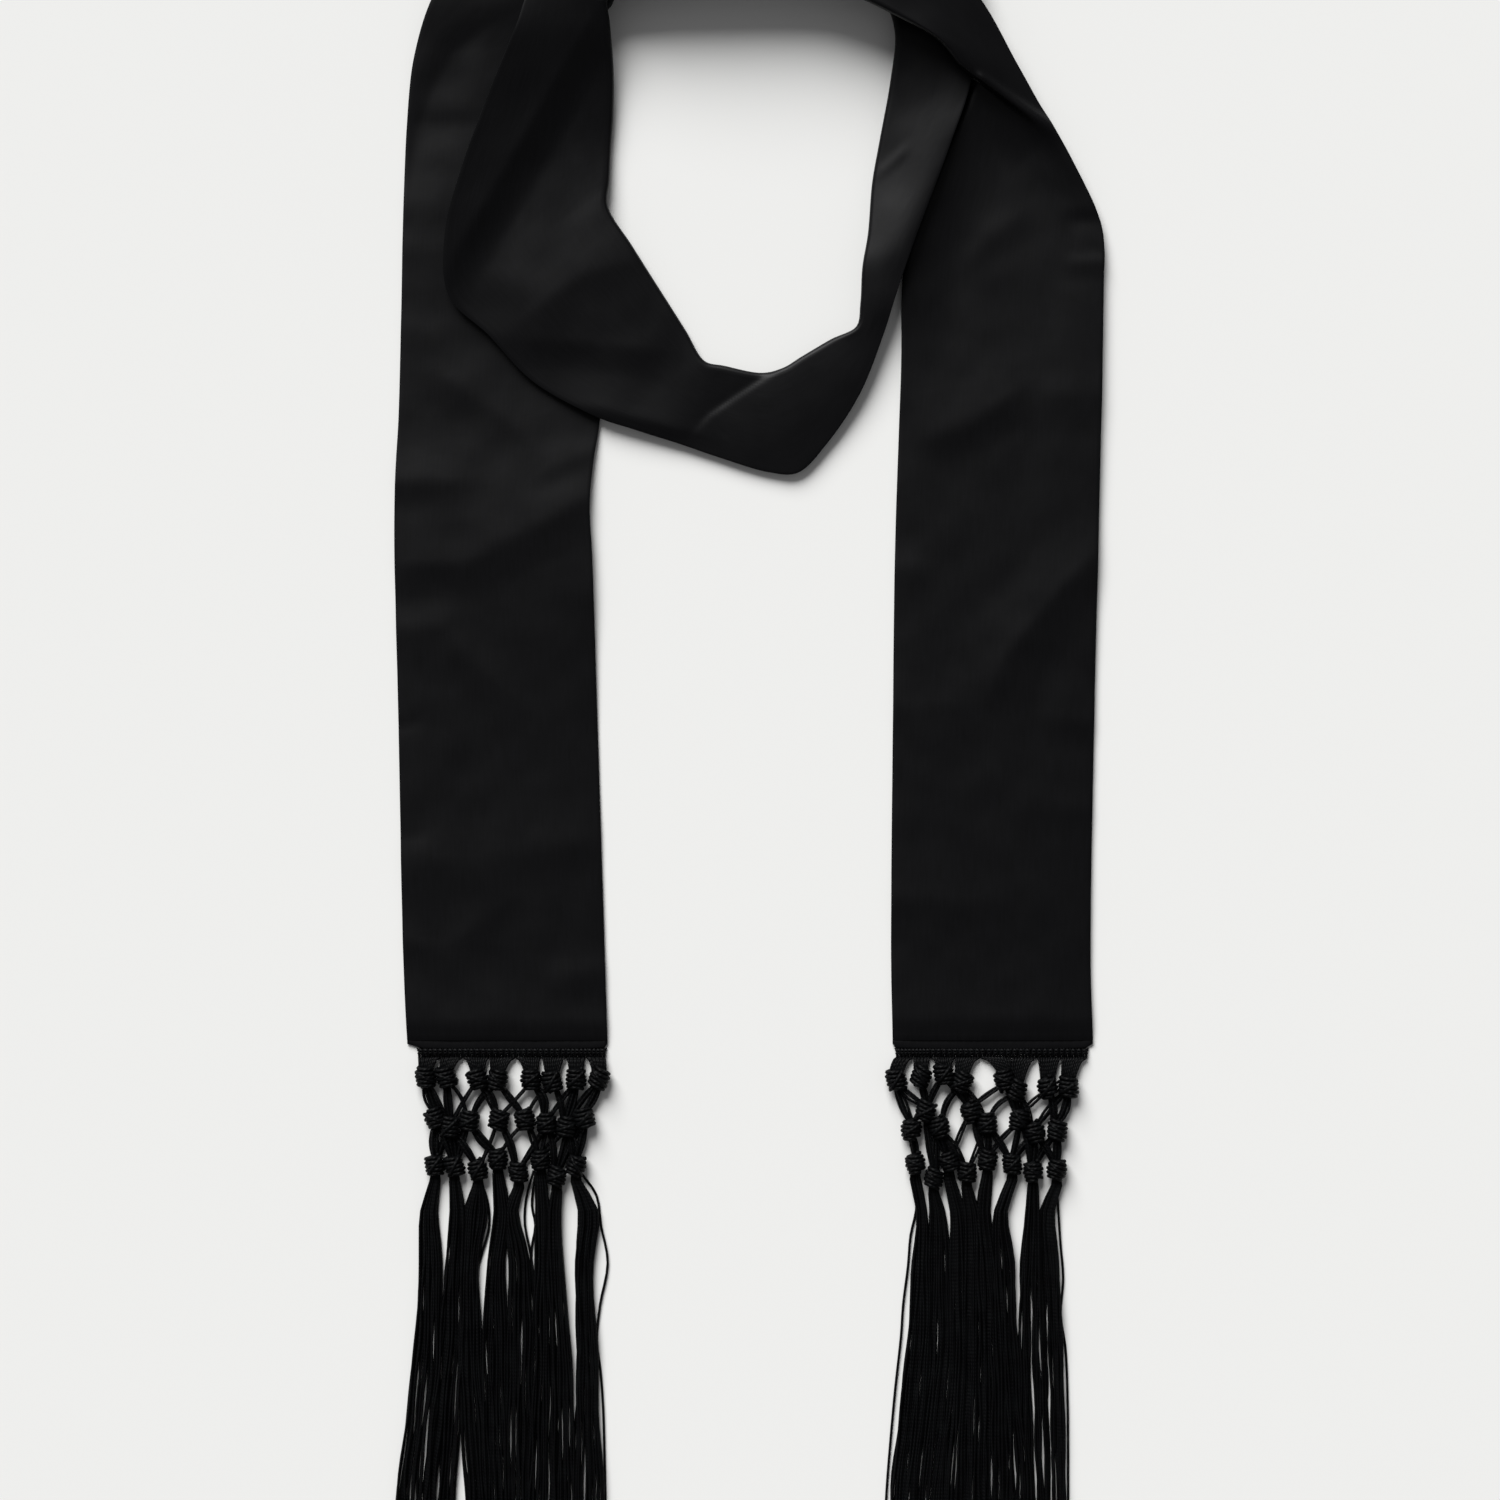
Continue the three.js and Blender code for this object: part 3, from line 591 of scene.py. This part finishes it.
# Legs between the rows of knots. Each row of a table gives the number of the knot above and the knot below,
# the leg's strands, and how far it bows to its side.
LEG_COLUMNS = ("start", "end", "strands", "bow")
LEFT_UPPER_LEGS = [
    (0, 0, 5, -0.4), (0, 1, 2, 0.4), (1, 1, 4, 0), (1, 2, 2, 1.4), (2, 1, 2, -0.2), (3, 2, 3, -1.4),
    (2, 3, 4, 1), (3, 4, 3, 0.3), (4, 3, 2, 0.2), (5, 4, 2, -1.2), (4, 5, 4, 1.8), (5, 6, 3, 0.8),
    (6, 5, 2, -0.3), (6, 6, 4, 0.2), (7, 6, 3, -0.8), (7, 7, 4, 0.6),
]
LEFT_LOWER_LEGS = [
    (0, 0, 4, -0.6), (0, 1, 3, 0.5), (1, 0, 3, -0.4), (1, 1, 4, 0), (2, 1, 4, -0.3), (1, 2, 4, 0.4),
    (2, 3, 4, -0.6), (3, 2, 2, 0.2), (4, 3, 2, -0.6), (3, 4, 4, 0.8), (5, 4, 3, 0.4), (4, 5, 3, 0.5),
    (5, 5, 2, 0), (5, 6, 3, 0.6), (6, 5, 3, -0.4), (6, 6, 3, 0.3), (6, 7, 4, 0.6), (7, 6, 3, -0.5),
    (7, 7, 4, 0.5),
]
RIGHT_UPPER_LEGS = [
    (0, 0, 4, -0.5), (0, 1, 3, -0.6), (1, 1, 3, 0.2), (2, 1, 3, -0.5), (3, 2, 3, -1.6), (2, 3, 4, 0.8),
    (3, 3, 3, 0), (4, 3, 2, -0.2), (3, 4, 3, 0.6), (5, 4, 2, -1.8), (4, 5, 4, 0.4), (5, 5, 3, 0.2),
    (6, 5, 2, -0.5), (5, 6, 3, 0.6), (7, 6, 3, -0.6), (6, 7, 3, 0.4), (7, 7, 4, 0.9),
]
RIGHT_LOWER_LEGS = [
    (0, 0, 4, 0.2), (1, 1, 3, 0), (2, 1, 3, -0.3), (1, 2, 3, 0.5), (2, 2, 4, 0), (3, 2, 2, -0.2),
    (2, 3, 4, 0.4), (4, 3, 2, 0.3), (3, 4, 3, -0.8), (4, 4, 3, 0.4), (5, 4, 2, -0.4), (4, 5, 3, 0.3),
    (5, 5, 3, 0.2), (6, 5, 3, -0.5), (5, 6, 3, 0.6), (6, 6, 3, 0), (7, 6, 3, -0.4), (6, 7, 3, 0.6),
    (7, 7, 4, 0.3),
]
# Where each knot's strands lie: their left and right edges at four levels down the fringe
LEVELS_Y = (-184, -204, -244, -300)
SPREAD_COLUMNS = ("left_1", "right_1", "left_2", "right_2", "left_3", "right_3", "left_4", "right_4")
LEFT_SPREADS = [
    (-132, -124.6, -132.8, -123, -136, -122.4, -142.2, -126),
    (-120, -113.6, -121.6, -114, -124.6, -114, -130, -117),
    (-115, -104.4, -115.4, -107.6, -116.6, -106.8, -114, -103),
    (-102.4, -95.6, -105.2, -97.4, -107.4, -96.4, -106, -94.8),
    (-98.6, -92.4, -96.8, -88, -97.4, -86.8, -98, -86.8),
    (-86, -79.6, -86.4, -79.4, -88.4, -77.6, -90.8, -77.2),
    (-81, -75.2, -81, -74.4, -79.8, -71, -80, -69.6),
    (-68.8, -60.2, -70.2, -62, -69.6, -60.6, -71.2, -57.8),
]
RIGHT_SPREADS = [
    (66, 71, 64.6, 72, 61.4, 72, 55.6, 67),
    (71.4, 78.2, 70.6, 80.6, 69.6, 81.4, 64, 77),
    (79.4, 86.4, 79, 88, 79, 88.6, 74, 87),
    (85, 92, 85.6, 93.4, 85, 95, 83.6, 95),
    (90, 96.4, 91.4, 99, 92.2, 101.4, 91.6, 103),
    (97.2, 103.2, 96.6, 106, 99, 107.6, 99.6, 111.6),
    (109.6, 116, 108, 116, 107.2, 117, 108.6, 119),
    (115.4, 122, 115.4, 123.8, 116.2, 126, 117.8, 127.2),
]
# Single strands that stray from their bundle. Each row gives the number of the knot and the strand's way.
LEFT_STRAYS = [
    (7, [(-67.4, -169), (-61.4, -178), (-59.6, -190), (-56.9, -205), (-60, -222), (-61.2, -236),
         (-59.8, -248), (-58.8, -262), (-57.8, -300), (-57.4, -322)]),
    (5, [(-86.4, -168), (-89.6, -180), (-90, -190), (-87.6, -202), (-86, -220), (-87, -250),
         (-88, -300), (-88, -324)]),
    (5, [(-85.6, -168), (-87.2, -182), (-85.8, -190), (-87.4, -200), (-86.6, -220), (-84, -250),
         (-85, -300), (-86, -322)]),
    (2, [(-107.4, -172), (-104.6, -182), (-104.4, -191), (-106.8, -200), (-108.8, -208), (-108, -230),
         (-107, -260), (-105, -300), (-105, -325)]),
]
RIGHT_STRAYS = [
    (0, [(66.6, -170), (66.4, -184), (64.2, -194), (63.2, -206), (61.2, -222), (60.4, -234),
         (58, -256), (56, -278), (54.4, -300), (54, -324)]),
    (7, [(122.6, -175), (124, -196), (125.2, -211), (124.2, -226), (126, -238), (127, -262),
         (127.2, -300), (127.4, -325)]),
]
HEM_LENGTH = 3.2
HEADER_TOP_Y = BAND_END_Y - HEM_LENGTH
HEADER_LENGTH = 3.6
HEADER_EDGE_Y = HEADER_TOP_Y - 0.75
WHIPPING_PITCH = 1.25
WHIPPING_RADIUS = 0.34
EDGE_CORD_RADIUS = 0.5
HITCH_LOOP_RADIUS = 0.56
HITCH_BAR_RADIUS = 0.42
HITCHES_A_GROUP = 9
HITCH_MARGIN = 1.1
STRAND_RADIUS = 0.52
LEG_RADIUS = 0.6
# Legs leave and enter a knot this far from its middle
LEG_INSET = 2.4
WRAP_RADIUS = 0.82
WRAP_TURNS = 5
WRAP_STEPS = 60
# Half sizes of a knot's oval in the first two rows, and of the heads in the third
KNOT_SIZE = Vector((3.6, 4.5, 2.8))
HEAD_SIZE = Vector((3.4, 4.3, 2.7))
STRANDS_A_KNOT = 24
# From one level to the next a strand strays by up to this share of its bundle's width
LANE_WANDER = 0.045
STRAND_STEP = 6.5
STRAY_STEP = 4
# Where the strands end, past the lower edge of the picture
END_Y = -324
# Each end's tables, its hem from left to right, how far the hem is cut back at its two corners, the gaps in
# the header that part its groups of hitches, and the seed of its small differences
ENDS = {
    "left": {
        "knots": LEFT_KNOTS,
        "upper": LEFT_UPPER_LEGS,
        "lower": LEFT_LOWER_LEGS,
        "spreads": LEFT_SPREADS,
        "strays": LEFT_STRAYS,
        "hem": (-137, -57),
        "hem_cuts": (6, 1),
        "header_gaps": (-132.6, -114.6, -93.6, -73.4, -57.8),
        "seed": 11,
    },
    "right": {
        "knots": RIGHT_KNOTS,
        "upper": RIGHT_UPPER_LEGS,
        "lower": RIGHT_LOWER_LEGS,
        "spreads": RIGHT_SPREADS,
        "strays": RIGHT_STRAYS,
        "hem": (57, 137),
        "hem_cuts": (0.6, 3),
        "header_gaps": (58.4, 72.2, 92, 114.6, 134.8),
        "seed": 23,
    },
}


def add_cord(bm, points, radius, sides=6):
    """A round cord through points: a grid rolled round them. Its map has turns round the cord, and metres
    along it."""
    points = [placed(*point) for point in points]
    last = len(points) - 1
    ways = [(points[min(i + 1, last)] - points[max(i - 1, 0)]).normalized() for i in range(last + 1)]
    across = ways[0].orthogonal().normalized()
    rings = []
    distance = 0
    for i, point in enumerate(points):
        if i:
            across = ways[i - 1].rotation_difference(ways[i]) @ across
            distance += (point - points[i - 1]).length
        rings.append((point, across, ways[i].cross(across), distance))
    cord_map = bm.loops.layers.uv["cord"]
    grid = bmesh.ops.create_grid(bm, x_segments=sides, y_segments=last, size=0.5)
    spot = {}
    for vert in grid["verts"]:
        turn = round((vert.co.x + 0.5) * sides)
        point, first, second, along = rings[round((vert.co.y + 0.5) * last)]
        angle = 2 * math.pi * (turn % sides) / sides
        vert.co = point + (first * math.cos(angle) + second * math.sin(angle)) * radius * MM
        spot[vert] = (turn / sides, along)
    for face in {face for vert in grid["verts"] for face in vert.link_faces}:
        for loop in face.loops:
            loop[cord_map].uv = spot[loop.vert]


def cord_piece(name, cords, cores, material, node):
    """One piece of many round cords, (points, radius) each, with the knots' oval cores."""
    bm = bmesh.new()
    cord_map = bm.loops.layers.uv.new("cord")
    for points, radius in cords:
        add_cord(bm, points, radius)
    bmesh.ops.remove_doubles(bm, verts=bm.verts, dist=1e-7)
    bmesh.ops.holes_fill(bm, edges=[edge for edge in bm.edges if edge.is_boundary], sides=0)
    for centre, size, turn in cores:
        grown = Matrix.Translation(placed(*centre)) @ turn @ Matrix.Diagonal((*(size * MM), 1))
        bmesh.ops.create_uvsphere(bm, u_segments=12, v_segments=8, radius=1, matrix=grown)
    bmesh.ops.recalc_face_normals(bm, faces=bm.faces)
    mesh = bpy.data.meshes.new(name)
    bm.to_mesh(mesh)
    bm.free()
    piece = finished(name, mesh, material)
    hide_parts(node)
    return piece


def wrapped_knot(x, y, size, draw):
    """A knot: a cord wound in close turns round an oval core, and one turn that locks them."""
    turn = Matrix.Rotation(draw.uniform(-0.4, 0.4), 4, "Z")
    centre = Vector((x, y, size.z + WRAP_RADIUS))
    start = draw.uniform(0, 2 * math.pi)
    winding = []
    for i in range(WRAP_STEPS + 1):
        share = i / WRAP_STEPS
        angle = start + 2 * math.pi * WRAP_TURNS * share
        # The turns cover nine tenths of the oval, draw in towards its ends, and are not all equally tight
        height = (share * 2 - 1) * 0.9
        girth = math.sqrt(1 - height ** 2 * 0.66)
        loose = 1 + 0.05 * math.sin(angle * 1.7 + start)
        point = Vector((size.x * girth * loose * math.cos(angle),
                        size.y * height + 0.3 * math.sin(angle + start),
                        size.z * girth * math.sin(angle)))
        winding.append(centre + turn @ point)
    locking = []
    slant = draw.choice((-1, 1)) * draw.uniform(0.5, 0.9)
    for i in range(17):
        angle = math.pi * (i / 16 * 1.2 - 0.1)
        point = Vector((size.x * 0.98 * math.cos(angle), size.y * 0.8 * slant * math.cos(angle),
                        size.z * 1.16 * math.sin(angle)))
        locking.append(centre + turn @ point)
    cords = [(winding, WRAP_RADIUS), (locking, WRAP_RADIUS * 0.85)]
    return cords, (centre, size * 0.95, turn)


def leg(start, end, strands, bow, draw, height):
    """Strands side by side and on each other from one knot to the next. height says how far off the floor
    they run."""
    start = Vector(start)
    end = Vector(end)
    run = end - start
    side = Vector((-run.y, run.x, 0)).normalized()
    cords = []
    for n in range(strands):
        lane = (n - (strands - 1) / 2) * LEG_RADIUS * 1.5
        lift = 0.7 * (n % 2) + draw.uniform(-0.1, 0.3)
        own_bow = bow + draw.uniform(-0.35, 0.35)
        points = []
        for i in range(9):
            share = i / 8
            swell = math.sin(math.pi * share)
            point = start + run * share + side * (lane * (0.5 + 0.5 * swell) + own_bow * swell)
            point.z = LEG_RADIUS + height * 0.6 + lift + height * 0.35 * swell
            points.append(point)
        cords.append((points, LEG_RADIUS))
    return cords


def hitch_places(gaps):
    """Where the strands' hitches sit on the header: a group of them between each two gaps."""
    places = []
    for left, right in zip(gaps, gaps[1:]):
        run = right - left - 2 * HITCH_MARGIN
        steps = HITCHES_A_GROUP - 1
        places.append([left + HITCH_MARGIN + run * n / steps for n in range(HITCHES_A_GROUP)])
    return places


def header_cords(gaps):
    """The whipped top edge, and the hitches that every strand is looped on with."""
    left = gaps[0] - 0.4
    right = gaps[-1] + 0.4
    steps = round((right - left) / WHIPPING_PITCH) * 8
    whipping = []
    for i in range(steps + 1):
        angle = 2 * math.pi * i / 8
        x = left + (right - left) * i / steps
        whipping.append((x, HEADER_EDGE_Y + 0.6 * math.cos(angle), 0.8 + 0.4 * math.sin(angle)))
    edge = [(left, HEADER_EDGE_Y, 1), (right, HEADER_EDGE_Y, 1)]
    cords = [(whipping, WHIPPING_RADIUS), (edge, EDGE_CORD_RADIUS)]
    top = HEADER_TOP_Y
    low = HEADER_TOP_Y - HEADER_LENGTH - 0.2
    for group in hitch_places(gaps):
        for x in group:
            loop = [(x - 0.62, low, 1), (x - 0.66, low + 1.2, 1.5), (x - 0.6, top - 1, 1.7),
                    (x - 0.2, top - 0.6, 1.8), (x + 0.3, top - 0.7, 1.8), (x + 0.62, top - 1.2, 1.7),
                    (x + 0.66, low + 1.2, 1.5), (x + 0.6, low, 1)]
            bar = [(x - 1.15, top - 2.1, 1), (x - 0.6, top - 1.9, 1.9), (x, top - 1.85, 2.1),
                   (x + 0.6, top - 1.9, 1.9), (x + 1.15, top - 2.1, 1)]
            cords.append((loop, HITCH_LOOP_RADIUS))
            cords.append((bar, HITCH_BAR_RADIUS))
    return cords


def fan_cords(knots, gaps, draw):
    """The strands from the hitches, drawn together into the first row of knots."""
    cords = []
    low = HEADER_TOP_Y - HEADER_LENGTH
    for pair, group in enumerate(hitch_places(gaps)):
        tops = [x + side for x in group for side in (-0.6, 0.6)]
        for n, top in enumerate(tops):
            knot = knots[pair * 2 + (n >= HITCHES_A_GROUP)]
            into = knot["first_x"] + (n % HITCHES_A_GROUP - 4) * 0.6
            drop = knot["first_y"] + 3 - low
            points = []
            for i in range(7):
                share = i / 6
                ease = share ** 0.5
                arch = 0.3 * math.sin(math.pi * share)
                z = 1.8 + 0.7 * share + arch + draw.uniform(-0.1, 0.1)
                points.append((top + (into - top) * ease, low + drop * share, z))
            cords.append((points, LEG_RADIUS))
    return cords


def net_cords(end, knots, draw):
    """The knotted net: its fans, the first two rows of knots, and the legs down to the third row."""
    cords = fan_cords(knots, end["header_gaps"], draw)
    cores = []
    for row in ("first", "second"):
        for k in knots:
            winding, core = wrapped_knot(k[row + "_x"], k[row + "_y"], KNOT_SIZE, draw)
            cords += winding
            cores.append(core)
    for table, top, bottom in (("upper", "first", "second"), ("lower", "second", "head")):
        for row in named(LEG_COLUMNS, end[table]):
            start = knots[row["start"]]
            finish = knots[row["end"]]
            # Legs that cross to the right go over the others
            crossing = row["end"] - row["start"]
            height = 2.4 if crossing > 0 else 1.4
            cords += leg((start[top + "_x"] + crossing * 1.2, start[top + "_y"] - LEG_INSET, 0),
                         (finish[bottom + "_x"] - crossing * 1.2, finish[bottom + "_y"] + LEG_INSET, 0),
                         row["strands"], row["bow"], draw, height)
    return cords, cores


def strand_cords(knot, spread, draw):
    """A knot's strands, each on its own wandering way down between the bundle's two edges."""
    head_x = knot["head_x"]
    head_y = knot["head_y"]
    cords = []
    for n in range(STRANDS_A_KNOT):
        lane = (n + 0.5) / STRANDS_A_KNOT
        # How high in the bundle the strand lies
        layer = draw.uniform(0.5, 2.9)
        stations = [Vector((head_x + (lane - 0.5) * 2.4, head_y - 2, 2.6)),
                    Vector((head_x + (lane - 0.5) * 3.8, head_y - 6.5, 1.2 + layer * 0.6))]
        for level, y in enumerate(LEVELS_Y, 1):
            left = spread[f"left_{level}"] + STRAND_RADIUS
            right = spread[f"right_{level}"] - STRAND_RADIUS
            lane = min(max(lane + draw.uniform(-LANE_WANDER, LANE_WANDER), 0), 1)
            stations.append(Vector((left + (right - left) * lane, y, layer)))
        stations.append(Vector((stations[-1].x + draw.uniform(-0.8, 0.8), END_Y + draw.uniform(-4, 4),
                                max(layer - 0.5, STRAND_RADIUS))))
        wave = draw.uniform(0.1, 0.5)
        phase = draw.uniform(0, 2 * math.pi)
        length = draw.uniform(5, 9)
        points = []
        for i in range(len(stations) - 1):
            parts = max(2, round((stations[i] - stations[i + 1]).length / STRAND_STEP))
            for j in range(parts):
                point = spline_point(stations, i, j / parts)
                # The knot holds the strand straight, and it grows wavy over the next 40 mm
                settle = min(max((head_y - 6 - point.y) / 40, 0), 1)
                point.x += wave * settle * math.sin(phase + point.y / length)
                points.append(point)
        points.append(stations[-1])
        cords.append((points, STRAND_RADIUS))
    return cords


def stray_cord(way):
    """A single strand along its own way on the floor."""
    stations = [Vector((x, y, 2.4 if i == 0 else STRAND_RADIUS + 0.1)) for i, (x, y) in enumerate(way)]
    points = []
    for i in range(len(stations) - 1):
        parts = max(3, round((stations[i] - stations[i + 1]).length / STRAY_STEP))
        points += [spline_point(stations, i, j / parts) for j in range(parts)]
    points.append(stations[-1])
    return points, STRAND_RADIUS


def turned_hem(name, left, right, cuts, material, node):
    """The turned end of the satin: a narrow flattened roll with small puckers, cut back at its corners."""
    bm = bmesh.new()
    lengthwise = 64
    round_steps = 16
    girth = 8
    bmesh.ops.create_grid(bm, x_segments=lengthwise, y_segments=round_steps, size=0.5)
    cloth = bm.loops.layers.uv.new("cloth")
    spot = {}
    for vert in bm.verts:
        along = vert.co.x + 0.5
        around = vert.co.y + 0.5
        angle = 2 * math.pi * (round(around * round_steps) % round_steps) / round_steps
        x = left + (right - left) * along
        spot[vert] = (around * girth * MM, along * BAND_WIDTH * MM)
        flat = math.copysign(abs(math.sin(angle)) ** 0.4, math.sin(angle))
        corner = min((x - left) / cuts[0], (right - x) / cuts[1], 1)
        sag = 1 - 0.2 * abs(2 * along - 1) ** 3
        length = HEM_LENGTH * (0.3 + 0.7 * corner) * sag + 1.2
        y = BAND_END_Y + 0.5 - length / 2 + length / 2 * math.cos(angle)
        pucker = 0.06 * math.sin(x * 1.7) * max(math.sin(angle), 0)
        vert.co = placed(x, y, 0.8 + 0.6 * flat + pucker)
    for face in bm.faces:
        for loop in face.loops:
            loop[cloth].uv = spot[loop.vert]
    bmesh.ops.remove_doubles(bm, verts=bm.verts, dist=1e-7)
    bmesh.ops.holes_fill(bm, edges=[edge for edge in bm.edges if edge.is_boundary], sides=0)
    bmesh.ops.recalc_face_normals(bm, faces=bm.faces)
    mesh = bpy.data.meshes.new(name)
    bm.to_mesh(mesh)
    bm.free()
    piece = finished(name, mesh, material)
    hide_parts(node)
    return piece


def fringe(side, satin, cord):
    """Everything below the satin at one end. Returns its pieces."""
    end = ENDS[side]
    draw = random.Random(end["seed"])
    knots = named(KNOT_COLUMNS, end["knots"])
    spreads = named(SPREAD_COLUMNS, end["spreads"])
    pieces = [turned_hem(f"{side}_turned_hem", *end["hem"], end["hem_cuts"], satin, f"{side}_hem")]
    pieces.append(cord_piece(f"{side}_header_hitches", header_cords(end["header_gaps"]), [], cord,
                             f"{side}_header_braid"))
    cords, cores = net_cords(end, knots, draw)
    pieces.append(cord_piece(f"{side}_net", cords, cores, cord, f"{side}_knot_net"))
    for j, (knot, spread) in enumerate(zip(knots, spreads)):
        cords, core = wrapped_knot(knot["head_x"], knot["head_y"], HEAD_SIZE, draw)
        cords += strand_cords(knot, spread, draw)
        cords += [stray_cord(way) for number, way in end["strays"] if number == j]
        pieces.append(cord_piece(f"{side}_strands_{j + 1}", cords, [core], cord, f"{side}_tassel_{j + 1}"))
    return pieces


def make_floor(material):
    """A plain floor six metres across."""
    bm = bmesh.new()
    bmesh.ops.create_grid(bm, x_segments=1, y_segments=1, size=3)
    mesh = bpy.data.meshes.new("floor")
    bm.to_mesh(mesh)
    bm.free()
    floor = bpy.data.objects.new("floor", mesh)
    mesh.materials.append(material)
    bpy.context.collection.objects.link(floor)


def make_light():
    """A broad window light from above the neck and a little to its left, and an even fill."""
    window = bpy.data.lights.new("window", "SUN")
    window.energy = 4.5
    window.angle = math.radians(40)
    lamp = bpy.data.objects.new("window", window)
    lamp.rotation_euler = Vector((0.34, -0.85, -0.66)).to_track_quat("-Z", "Y").to_euler()
    bpy.context.collection.objects.link(lamp)
    world = bpy.data.worlds.new("studio")
    world.use_nodes = True
    background = world.node_tree.nodes["Background"]
    background.inputs["Color"].default_value = colour("#F4F4F6")
    background.inputs["Strength"].default_value = 0.185
    bpy.context.scene.world = world
    bpy.context.scene.view_settings.view_transform = "Standard"


make_camera()
make_floor(matt_paper())
make_light()
satin = black_polyester_satin()
cord = black_viscose_cord()
ribbon, band_length = satin_ribbon(satin)
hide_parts("satin_band")
left_fringe = fringe("left", satin, cord)
right_fringe = fringe("right", satin, cord)
